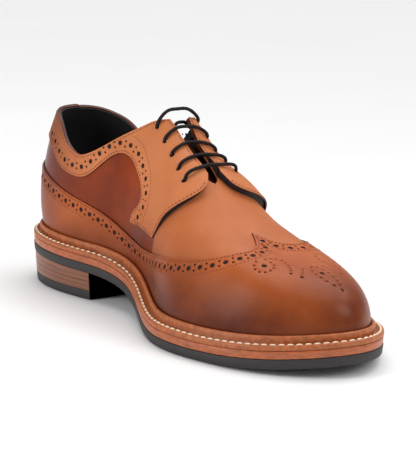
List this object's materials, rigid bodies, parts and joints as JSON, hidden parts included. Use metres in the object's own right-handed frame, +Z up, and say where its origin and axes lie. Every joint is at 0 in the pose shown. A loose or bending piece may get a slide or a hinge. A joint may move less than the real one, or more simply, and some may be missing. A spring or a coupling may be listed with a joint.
{
  "type": "brogue derby shoe",
  "caption": "Left derby shoe with long punched wing tips, open lacing, ribbed storm welt, leather midsole, rubber sole and stacked heel",
  "frame": {"origin": "middle of the shoe's outline on the ground, half way between its ends and its sides", "axes": "+X towards the toe, +Y towards the wearer's left, which is the outer side, +Z up"},
  "size_m": [0.2951, 0.1164, 0.1315],
  "materials": {
    "tan_leather": "polished tan, burnished darker at the toe",
    "lining_leather": "matt black",
    "welt_leather": "waxed edge",
    "midsole_leather": "waxed edge",
    "stacked_leather": "waxed edge with fine lines",
    "sole_rubber": "matt",
    "lace_cotton": "waxed cotton cord"
  },
  "bodies": {
    "root": {"upper": "tan_leather", "long_wing": "tan_leather", "facing_collar": "tan_leather", "tongue": "tan_leather", "insole": "lining_leather", "storm_welt": "welt_leather", "midsole": "midsole_leather", "outsole": "sole_rubber", "heel_lift_1": "stacked_leather", "heel_lift_2": "stacked_leather", "heel_lift_3": "stacked_leather", "heel_lift_4": "stacked_leather", "heel_top_piece": "sole_rubber", "lace": "lace_cotton"}
  },
  "joints": []
}
